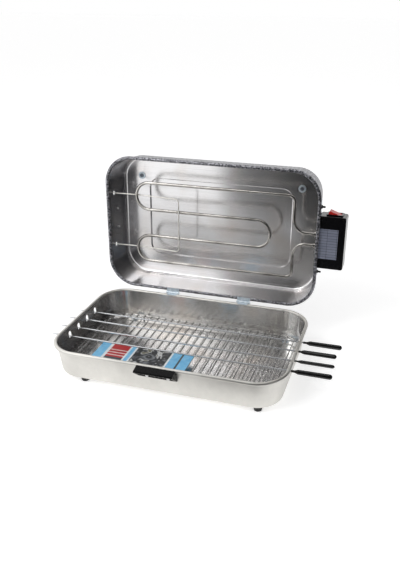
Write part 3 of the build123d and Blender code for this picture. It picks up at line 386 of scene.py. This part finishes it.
bar_low, bar_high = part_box("rack_bars")
bar_radius = (bar_high.z - bar_low.z) / 2
bar_count = 26
bar_pitch = (bar_high.x - bar_low.x - 2 * bar_radius) / (bar_count - 1)
rack_bars = grow("rack_cross_bars", cross_bars, [(0, 0, 0)], [], {
    "Bars": bar_count, "Pitch": bar_pitch, "Wire radius": bar_radius,
    "Half width": (bar_high.y - bar_low.y) / 2, "Straight": frame_x - frame_corner, "Corner": frame_corner,
    "Material": plated})
rack_bars.data.transform(Matrix.Translation((bar_low + bar_high) / 2))
stands_for(rack_bars, "base", "rack_chrome", "rack_bars")

# Spot welds: where each bar was pressed into the rail under it, the plating lies over a small flat nugget of
# melted wire. The outermost bars meet the frame past the rails' ends and have none.
spot_welds, given = begin_tree("spot welds", {
    "Nugget": "NodeSocketVector", "Material": "NodeSocketMaterial"})
nugget = add(spot_welds, "GeometryNodeMeshIcoSphere", {"Radius": 1.0, "Subdivisions": 2})
set_down = add(spot_welds, "GeometryNodeInstanceOnPoints", {
    "Points": given["Geometry"], "Instance": nugget.outputs["Mesh"], "Scale": given["Nugget"]})
end_tree(spot_welds, set_down.outputs["Instances"], given["Material"])
nugget_size = (1.9 * MM, 1.9 * MM, 0.8 * MM)
weld_z = rail_high.z - 0.3 * MM
welded_bars = [bar_low.x + bar_radius + bar * bar_pitch for bar in range(1, bar_count - 1)]
weld_points = [(x, y, weld_z) for x in welded_bars for y in rail_rows]
rack_welds = grow("rack_spot_welds", spot_welds, weld_points, [], {"Nugget": nugget_size, "Material": plated})
stands_for(rack_welds, "base", "rack_chrome")

# Card: a printed sheet of coated card lying loose on the bars. The print is plain: blue ends with white rules, a
# red field with pale bars across it, and a mottled picture field in the middle. The coating gives a weak sheen,
# and each ink lies a little unevenly.
card_low, card_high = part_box("printed_card")
card_size = card_high - card_low
print_inks = {
    "sky blue": ("#62b4e4", "#8ccbef"), "white": ("#d9dfe4", "#f0f3f5"), "red": ("#a51a20", "#bf272b"),
    "pale rule": ("#d8bdb9", "#eedcd8"), "slate": ("#24272c", "#4b525b")}
# Each field's left, right, front and rear edges are shares of the card's length and width.
print_fields = [
    (0.00, 0.10, 0.0, 1.0, "sky blue"), (0.10, 0.13, 0.0, 1.0, "white"), (0.13, 0.32, 0.0, 0.36, "slate"),
    (0.13, 0.32, 0.36, 0.44, "red"), (0.13, 0.32, 0.44, 0.48, "pale rule"), (0.13, 0.32, 0.48, 0.57, "red"),
    (0.13, 0.32, 0.57, 0.61, "pale rule"), (0.13, 0.32, 0.61, 0.70, "red"),
    (0.13, 0.32, 0.70, 0.74, "pale rule"), (0.13, 0.32, 0.74, 1.0, "red"), (0.32, 0.34, 0.0, 1.0, "white"),
    (0.34, 0.38, 0.0, 1.0, "sky blue"), (0.38, 0.40, 0.0, 1.0, "white"), (0.40, 0.77, 0.0, 1.0, "picture"),
    (0.77, 0.79, 0.0, 1.0, "white"), (0.79, 0.88, 0.0, 1.0, "sky blue"), (0.88, 0.90, 0.0, 1.0, "slate"),
    (0.90, 1.00, 0.0, 1.0, "sky blue")]
inks = list(print_inks) + ["picture"]
lengthwise = sorted({edge for field in print_fields for edge in field[0:2]})
widthwise = sorted({edge for field in print_fields for edge in field[2:4]})
form = bmesh.new()
corners = {(u, v): form.verts.new((card_low.x + u * card_size.x, card_low.y + v * card_size.y, card_high.z))
           for u in lengthwise for v in widthwise}
for left, right in zip(lengthwise, lengthwise[1:]):
    for front, rear in zip(widthwise, widthwise[1:]):
        face = form.faces.new([corners[key] for key in (
            (left, front), (right, front), (right, rear), (left, rear))])
        ink = next(field[4] for field in print_fields
                   if field[0] <= left and right <= field[1] and field[2] <= front and rear <= field[3])
        face.material_index = inks.index(ink)
card_mesh = bpy.data.meshes.new("card")
form.to_mesh(card_mesh)
form.free()
card = bpy.data.objects.new("card", card_mesh)
bpy.context.scene.collection.objects.link(card)
for ink, (dark, pale) in print_inks.items():
    card.data.materials.append(mottled(f"coated card, {ink} ink", dark, pale, 9 * MM, 0.3, 0.42))
picture, tree, shader = begin_material("coated card, picture field", Roughness=0.34)
place = add(tree, "ShaderNodeTexCoord")
blots = add(tree, "ShaderNodeTexNoise", {
    "Vector": place.outputs["Object"], "Scale": 1 / (24 * MM), "Detail": 3.0, "Distortion": 1.5})
tone = add(tree, "ShaderNodeValToRGB", {"Fac": blots.outputs["Fac"]})
ramp = tone.color_ramp
for position, colour in (
        (0.38, "#5d6166"), (0.46, "#1b1d21"), (0.54, "#2b2d30"), (0.60, "#d3d5d6"), (0.66, "#6f6c55")):
    ramp.elements.new(position).color = linear(colour)
ramp.elements[0].color = linear("#c9ccce")
ramp.elements[-1].color = linear("#23262b")
tree.links.new(tone.outputs["Color"], shader.inputs["Base Color"])
card.data.materials.append(picture)
thickness = card.modifiers.new("card thickness", "SOLIDIFY")
thickness.thickness = card_size.z
thickness.offset = -1
stands_for(card, "base", "printed_card", "printed_card")

# Hinges: two butt hinges stamped from zinc-plated steel and let into the rims, each on a headed pin, with a
# tongue behind the knuckle that stops the lid. A blue passivation leaves the plating pale and a little milky.
pale_zinc = mottled("steel, zinc plated and blue passivated", "#bccad5", "#e6eef4", 5 * MM, 0.28, 0.42,
                    Metallic=0.6)
for side in ("left", "right"):
    own_copy(f"hinge_base_leaf_{side}", f"hinge_tray_leaf_{side}", pale_zinc)
    own_copy(f"hinge_lid_leaf_{side}", f"hinge_cover_leaf_{side}", pale_zinc)
    own_copy(f"hinge_pin_{side}", f"hinge_headed_pin_{side}", pale_zinc)
own_copy("hinge_base_rivets", "hinge_tray_rivets", pale_zinc)
own_copy("hinge_lid_rivets", "hinge_cover_rivets", pale_zinc)

# Skewers: rods of drawn steel wire, ground to a point at the left and moulded into flat black grips at the right.
# They lie in the tray's slots and turn there. Drawing leaves faint lines along the wire, and the bakelite of the
# grips has kept its gloss from the mould.
draw_length, draw_width = 30 * MM, 0.8 * MM
drawn_steel, tree, shader = begin_material("steel wire, drawn", Metallic=1.0, Roughness=0.26)
place = add(tree, "ShaderNodeTexCoord")
stretch = add(tree, "ShaderNodeMapping", {
    "Vector": place.outputs["Object"], "Scale": (1 / draw_length, 1 / draw_width, 1 / draw_width)})
draw_lines = add(tree, "ShaderNodeTexNoise", {"Vector": stretch.outputs["Vector"], "Scale": 1.0, "Detail": 2.0})
tone = add(tree, "ShaderNodeValToRGB", {"Fac": draw_lines.outputs["Fac"]})
for stop, colour in zip(tone.color_ramp.elements, ("#a6a8aa", "#dfe1e3")):
    stop.color = linear(colour)
tree.links.new(tone.outputs["Color"], shader.inputs["Base Color"])
bakelite = mottled("bakelite, moulded black", "#040404", "#0a0a0b", 6 * MM, 0.16, 0.28, IOR=1.6)
for number in range(1, 5):
    own_copy(f"skewer_rod_{number}", f"skewer_{number}_wire", drawn_steel)
    own_copy(f"skewer_grip_{number}", f"skewer_{number}_grip", bakelite)

# Lid: the same drawn pan turned over, with a panel pressed out of its floor. It is bare and brushed inside, and
# has hammered paint outside and round the rim. It stands open, past upright, on the hinge stops.
lid_joint = next(joint for joint in frame["joints"] if joint["name"] == "lid_hinge")
hinge_line = Vector(lid_joint["pos_m"])
lid_turn = (Matrix.Translation(hinge_line) @ Matrix.Rotation(-math.radians(lid_joint["range_deg"][1]), 4, "X")
            @ Matrix.Translation(-hinge_line))
lid_back = lid_turn.inverted()
# The bright inside draws the reflections of tube and tray out across long fine lines. Hammered paint flows into
# small dimples, with bright leaf pigment drawn up between them, so it sparkles grey on charcoal.
bright_sheet = brushed("aluminium sheet, brushed bright", "#e4e3e4", "#f6f5f6", "#d8cabd", 0.16, 0.22,
                       line_length=150 * MM, line_width=1.0 * MM, relief=0.008 * MM, anisotropy=0.7)
dimple_size, fleck_size, dimple_depth = 3.6 * MM, 3.0 * MM, 0.3 * MM
hammered, tree, shader = begin_material("hammered paint, charcoal", Metallic=0.7, Roughness=0.3)
place = add(tree, "ShaderNodeTexCoord")
dimples = add(tree, "ShaderNodeTexVoronoi", {
    "Vector": place.outputs["Object"], "Scale": 1 / dimple_size, "Randomness": 1.0})
flecks = add(tree, "ShaderNodeTexNoise", {
    "Vector": place.outputs["Object"], "Scale": 1 / fleck_size, "Detail": 3.0})
pigment = add(tree, "ShaderNodeMath", {
    0: flecks.outputs["Fac"], 1: dimples.outputs["Distance"]}, operation="MULTIPLY")
tone = add(tree, "ShaderNodeValToRGB", {"Fac": pigment.outputs[0]})
for stop, position, colour in zip(tone.color_ramp.elements, (0.12, 0.44), ("#37373b", "#b0b0b6")):
    stop.position = position
    stop.color = linear(colour)
relief = add(tree, "ShaderNodeBump", {
    "Height": dimples.outputs["Distance"], "Distance": dimple_depth, "Strength": 0.6})
tree.links.new(tone.outputs["Color"], shader.inputs["Base Color"])
tree.links.new(relief.outputs["Normal"], shader.inputs["Normal"])
lid = own_copy("lid_shell", "lid", hammered, bright_sheet)
lid_rim = 76.85 * MM
rim_bead = 3.45 * MM
for face in lid.data.polygons:
    centre = lid_back @ face.center
    normal = lid_back.to_3x3() @ face.normal
    inward = Vector((tray_middle.x - centre.x, tray_middle.y - centre.y, 0)).normalized()
    faces_in = normal.z < -leans_open or normal.dot(inward) > leans_in
    if faces_in and centre.z > lid_rim + rim_bead:
        face.material_index = 1
brush_map(lid.data, lid_turn)

# Lid feet and side handle: the same rubber feet and the same hood as on the tray, so that the lid can lie open
# as a second pan. The feet are held like the tray's, the hood by two rivets. The screws and nuts are coloured a
# cloudy dark grey, a painted shade in the middle of the pale washers.
for side in ("left", "right"):
    own_copy(f"lid_foot_{side}", f"lid_rubber_foot_{side}", rubber)
# Painted shade: the screws and nuts are coloured darker than the washers round them.
dark_zinc_painted_shade = mottled("steel, zinc plated, darkened as painted shade", "#6a7079", "#9aa1aa", 3 * MM, 0.3, 0.45, Metallic=0.9)
for kind, finish in (("screws", dark_zinc_painted_shade), ("washers", pale_zinc), ("nuts", dark_zinc_painted_shade)):
    own_copy(f"lid_foot_{kind}", f"lid_rubber_foot_{kind}", finish)
own_copy("lid_handle", "lid_hood_handle", hood_black_painted_shade, edge=hood_edge)
own_copy("lid_handle_rivets", "lid_handle_rivet_pair", soft_rivet)


# Heating element: one steel-sheathed tube bent to and fro across the lid, dulled and faintly browned by heat.
# Both ends pass through glands in the right wall. A bent wire, hooked into the left wall, holds its loops.
def on_lid(x, y, z):
    """A point in millimetres from the middle of the closed lid's rim, carried to the open lid."""
    return lid_turn @ Vector((tray_middle.x + x * MM, tray_middle.y + y * MM, lid_rim + z * MM))


# The sheath keeps a sharp highlight over clouds of grey and brown. The thin wire is paler and softer, and fired
# steatite is a chalky cream.
sheath = mottled("steel sheath, heat dulled", "#96938e", "#d6d3ce", 40 * MM, 0.13, 0.22, Metallic=1.0)
wire_zinc = mottled("steel wire, zinc plated", "#cfccc4", "#f0eee9", 10 * MM, 0.26, 0.4, Metallic=0.6)
steatite = mottled("steatite, fired", "#d9d4c8", "#efece4", 1.5 * MM, 0.5, 0.62)
tube_radius, tube_level = 3.25 * MM, 20
tube_end, riser, left_turn, right_turn = 233.9, 174.5, -169.0, 126.0
outer_run, inner_run, end_run = 86.25, 28.75, 12.0
tube_route = [
    (tube_end, -end_run), (riser, -end_run), (riser, -outer_run), (left_turn, -outer_run),
    (left_turn, -inner_run), (right_turn, -inner_run), (right_turn, inner_run), (left_turn, inner_run),
    (left_turn, outer_run), (riser, outer_run), (riser, end_run), (tube_end, end_run)]
end_bend, corner_bend, turn_bend = 26, 13, 28.5
tube_bends = [0, end_bend, corner_bend] + [turn_bend] * 6 + [corner_bend, end_bend, 0]
heating_tube = grow("heating_tube", bent_wire, [on_lid(x, y, tube_level) for x, y in tube_route],
                    [(number, number + 1) for number in range(len(tube_route) - 1)],
                    {"Wire radius": tube_radius, "Sides": 24, "Material": sheath},
                    bend=[radius * MM for radius in tube_bends])
stands_for(heating_tube, "lid", "element_sheath", "heating_element")
hook_radius = 1.25 * MM
hook_wall, hook_end, hook_row = -229.5, -72.0, 57.5
wall_level, front_level, back_level = 21.5, 24.8, 15.2
hook_route = [
    (hook_wall, -hook_row, wall_level), (left_turn, -hook_row, front_level), (hook_end, -hook_row, back_level),
    (hook_end, hook_row, back_level), (left_turn, hook_row, front_level), (hook_wall, hook_row, wall_level)]
hook_bends = [0, 60, 8, 8, 60, 0]
support_wire = grow("tube_support_wire", bent_wire, [on_lid(*point) for point in hook_route],
                    [(number, number + 1) for number in range(len(hook_route) - 1)],
                    {"Wire radius": hook_radius, "Sides": 16, "Material": wire_zinc},
                    bend=[radius * MM for radius in hook_bends])
stands_for(support_wire, "lid", slot_of["support_wire"], "support_wire")
own_copy("element_glands", "tube_glands", sheath)
own_copy("gland_nuts", "tube_gland_nuts", zinc)
own_copy("terminal_pins", "tube_terminal_pins", zinc)
own_copy("element_insulators", "tube_insulators", steatite)

# Switch box: a housing and a flat cover moulded in black polyamide, bolted to the lid's right wall through a
# zinc-plated bracket. The mould leaves a fine leather grain, drawn here at its real millimetre, that breaks up
# the gloss. Black oxide on the screws and bolts is dull and oily.
polyamide = mottled("polyamide, moulded black", "#040406", "#0a0a0d", 1.2 * MM, 0.15, 0.24,
                    relief=0.008 * MM, IOR=1.53)
black_oxide = mottled("steel, black oxide", "#101010", "#232323", 3 * MM, 0.35, 0.5, Metallic=0.8)
own_copy("box_housing", "switch_box", polyamide)
own_copy("box_cover", "switch_box_cover", polyamide)
own_copy("switch_body", "switch_frame", polyamide, edge=0.3 * MM)
own_copy("cord_bush", "cord_grommet", rubber)
own_copy("terminal_block", "terminal_strip", polyamide, edge=0.4 * MM)
own_copy("cover_screws", "switch_box_screws", black_oxide)
own_copy("box_bracket", "switch_box_bracket", zinc)
own_copy("bracket_bolts", "switch_box_bolts", black_oxide)
own_copy("bracket_nuts", "switch_box_nuts", black_oxide)

# Plate: satin aluminium foil stuck on the cover, blank but for the thin rules of an empty form. The foil is a
# bluish grey without clear reflections, and the rules are printed on it.
rule_width, form_column, form_row = 0.35 * MM, 19 * MM, 5.5 * MM
foil, tree, shader = begin_material("aluminium foil, satin", Metallic=0.7, Roughness=0.4)
plate = own_copy("blank_plate", "box_blank_plate", foil)
form_map = plate.data.uv_layers.new(name="form")
for loop in plate.data.loops:
    form_map.data[loop.index].uv = (lid_back @ plate.data.vertices[loop.vertex_index].co).xy
sheet_map = add(tree, "ShaderNodeUVMap", uv_map="form")
rules = add(tree, "ShaderNodeTexBrick", {
    "Vector": sheet_map.outputs["UV"], "Color1": linear("#9aa0b4"), "Color2": linear("#a6abbf"),
    "Mortar": linear("#4a4d53"), "Scale": 1.0, "Mortar Size": rule_width, "Mortar Smooth": 0.3,
    "Brick Width": form_column, "Row Height": form_row}, offset=0.0)
tree.links.new(rules.outputs["Color"], shader.inputs["Base Color"])

# Rocker switch: a red rocker moulded in through-coloured polycarbonate, glossy, tipping in its frame on two
# trunnions. Its blades of stamped brass, warm and half bright, and the leads in chalky silicone sleeves are
# inside the box.
red = mottled("polycarbonate, red", "#a8120f", "#c41f19", 7 * MM, 0.2, 0.3, IOR=1.58)
own_copy("switch_rocker", "switch_red_rocker", red)
brass = mottled("brass, stamped", "#a98a4a", "#cdb06c", 3 * MM, 0.25, 0.4, Metallic=1.0)
own_copy("switch_blades", "switch_contact_blades", brass)
sleeve = mottled("silicone sleeve, cream", "#cfc8b6", "#e6e0d0", 1.0 * MM, 0.5, 0.65)
own_copy("box_leads", "box_lead_wires", sleeve)


# Studio: a white table in a white room, a wide soft lamp at the upper left and a weaker one at the right. A card
# graded from white to black stands in front, where only reflections see it, so that the bright metal has tone.
def seen_rays(tree):
    """One for a ray from the camera, a mirror or glass, and nought for the light that falls on the object."""
    sight = add(tree, "ShaderNodeLightPath")
    mirrored = add(tree, "ShaderNodeMath", {
        0: sight.outputs["Is Camera Ray"], 1: sight.outputs["Is Glossy Ray"]}, operation="MAXIMUM")
    seen = add(tree, "ShaderNodeMath", {
        0: mirrored.outputs[0], 1: sight.outputs["Is Transmission Ray"]}, operation="MAXIMUM")
    return seen.outputs[0]


white = (1, 1, 1, 1)
black = (0, 0, 0, 1)
paper_glow = 0.5
paper, tree, shader = begin_material(
    "white paper sweep", Roughness=0.9, Base_Color=linear("#e9e9e9"), Emission_Color=white)
lift = add(tree, "ShaderNodeMath", {0: seen_rays(tree), 1: paper_glow}, operation="MULTIPLY")
tree.links.new(lift.outputs[0], shader.inputs["Emission Strength"])
floor_reach = 12.0
floor_mesh = bpy.data.meshes.new("floor")
floor_mesh.from_pydata(
    [(x * floor_reach, y * floor_reach, 0) for x, y in ((-1, -1), (1, -1), (1, 1), (-1, 1))], [], [(0, 1, 2, 3)])
floor = bpy.data.objects.new("floor", floor_mesh)
floor.data.materials.append(paper)
bpy.context.scene.collection.objects.link(floor)

# The graded card glows in bands, one above the other. Each band lists places along X with their strength, and
# the climbs are the heights over which a band gives way to the next. The mat is the card's foot on the table.
graded, tree, shader = begin_material("graded card", Roughness=1.0, Base_Color=black, Emission_Color=white)
grade_from, grade_to = -0.4, 0.1
mat_band = ((-0.3, 1.0), (-0.1, 0.8), (0.03, 0.55), (0.09, 0.1))
ground_band = ((-0.3, 0.5), (-0.1, 0.2), (0.09, 0.05))
middle_band = ((-0.34, 0.55), (-0.15, 0.8), (-0.08, 0.42), (0.05, 0.45), (0.09, 0.03))
upper_band = ((-0.34, 1.1), (-0.205, 1.0), (-0.165, 0.4), (-0.135, 0.18), (-0.08, 0.13), (-0.02, 0.08),
              (0.06, 0.025))
climbs = ((0.004, 0.006), (0.04, 0.07), (0.105, 0.15))
place = add(tree, "ShaderNodeTexCoord")
card_place = add(tree, "ShaderNodeSeparateXYZ", {"Vector": place.outputs["Object"]})
sideways = add(tree, "ShaderNodeMapRange", {
    "Value": card_place.outputs["X"], "From Min": grade_from, "From Max": grade_to})
band_glows = []
for strengths in (mat_band, ground_band, middle_band, upper_band):
    band = add(tree, "ShaderNodeValToRGB", {"Fac": sideways.outputs["Result"]})
    stops = [((x - grade_from) / (grade_to - grade_from), (grey, grey, grey, 1)) for x, grey in strengths]
    ramp = band.color_ramp
    for position, colour in stops[1:-1]:
        ramp.elements.new(position).color = colour
    for stop, (position, colour) in ((ramp.elements[0], stops[0]), (ramp.elements[-1], stops[-1])):
        stop.position = position
        stop.color = colour
    band_glows.append(band.outputs["Color"])
glow = band_glows[0]
for next_glow, (climb_foot, climb_top) in zip(band_glows[1:], climbs):
    climb = add(tree, "ShaderNodeMapRange", {
        "Value": card_place.outputs["Z"], "From Min": climb_foot, "From Max": climb_top})
    glow = add(tree, "ShaderNodeMix", {
        "Factor": climb.outputs["Result"], "A": glow, "B": next_glow}).outputs["Result"]
tree.links.new(glow, shader.inputs["Emission Strength"])
card_left, card_right, card_foot, card_top = -1.0, 0.46, 0.004, 0.9
card_front = tray_middle.y - 0.32
wing_back = 0.45
mat_back = card_front + 0.13
foot_line = [(card_left, card_front), (card_right, card_front), (card_right, wing_back)]
mat_edge = [(card_left, mat_back, card_foot), (card_right, mat_back, card_foot)]
graded_mesh = bpy.data.meshes.new("graded_card")
graded_mesh.from_pydata([(x, y, z) for z in (card_foot, card_top) for x, y in foot_line] + mat_edge, [],
                        [(0, 1, 4, 3), (1, 2, 5, 4), (0, 1, 7, 6)])
graded_card = bpy.data.objects.new("graded_card", graded_mesh)
graded_card.data.materials.append(graded)
graded_card.visible_camera = False
graded_card.visible_diffuse = False
graded_card.visible_shadow = False
bpy.context.scene.collection.objects.link(graded_card)

room_light = 0.55
world = bpy.data.worlds.new("white room")
bpy.context.scene.world = world
world.use_nodes = True
tree = world.node_tree
room = add(tree, "ShaderNodeMapRange", {"Value": seen_rays(tree), "To Min": room_light, "To Max": 1.0})
tree.nodes["Background"].inputs["Color"].default_value = white
tree.links.new(room.outputs["Result"], tree.nodes["Background"].inputs["Strength"])

lamp_target = Vector((0, 0.05, 0.12))
lamps = (("key lamp", Vector((-1.2, -1.4, 1.9)), 1.4, 26), ("fill lamp", Vector((1.6, -0.9, 1.3)), 1.2, 5))
for name, spot, size, power in lamps:
    lamp = bpy.data.lights.new(name, "AREA")
    lamp.size = size
    lamp.energy = power
    holder = bpy.data.objects.new(name, lamp)
    holder.location = spot
    holder.rotation_euler = (lamp_target - spot).to_track_quat("-Z", "Y").to_euler()
    bpy.context.scene.collection.objects.link(holder)

# Camera: where the photographer stood, about a metre in front of the tray, a little to the right of it and
# looking down on the open grill. Place, angles, lens and shift were solved from the rims of tray and lid.
camera_offset = Vector((0.40255, -1.02640))
camera_height = 0.69227
look_down, look_left = math.radians(26.434), math.radians(16.449)
view = bpy.data.cameras.new("camera")
view.sensor_width = 36.0
view.lens = 40.551
view.shift_x = -0.0573
view.shift_y = 0.0192
camera = bpy.data.objects.new("camera", view)
camera.location = (tray_middle.x + camera_offset.x, tray_middle.y + camera_offset.y, camera_height)
camera.rotation_euler = (math.radians(90) - look_down, 0, look_left)
bpy.context.scene.collection.objects.link(camera)
bpy.context.scene.camera = camera
bpy.context.scene.view_settings.view_transform = "Standard"

bpy.context.view_layer.update()
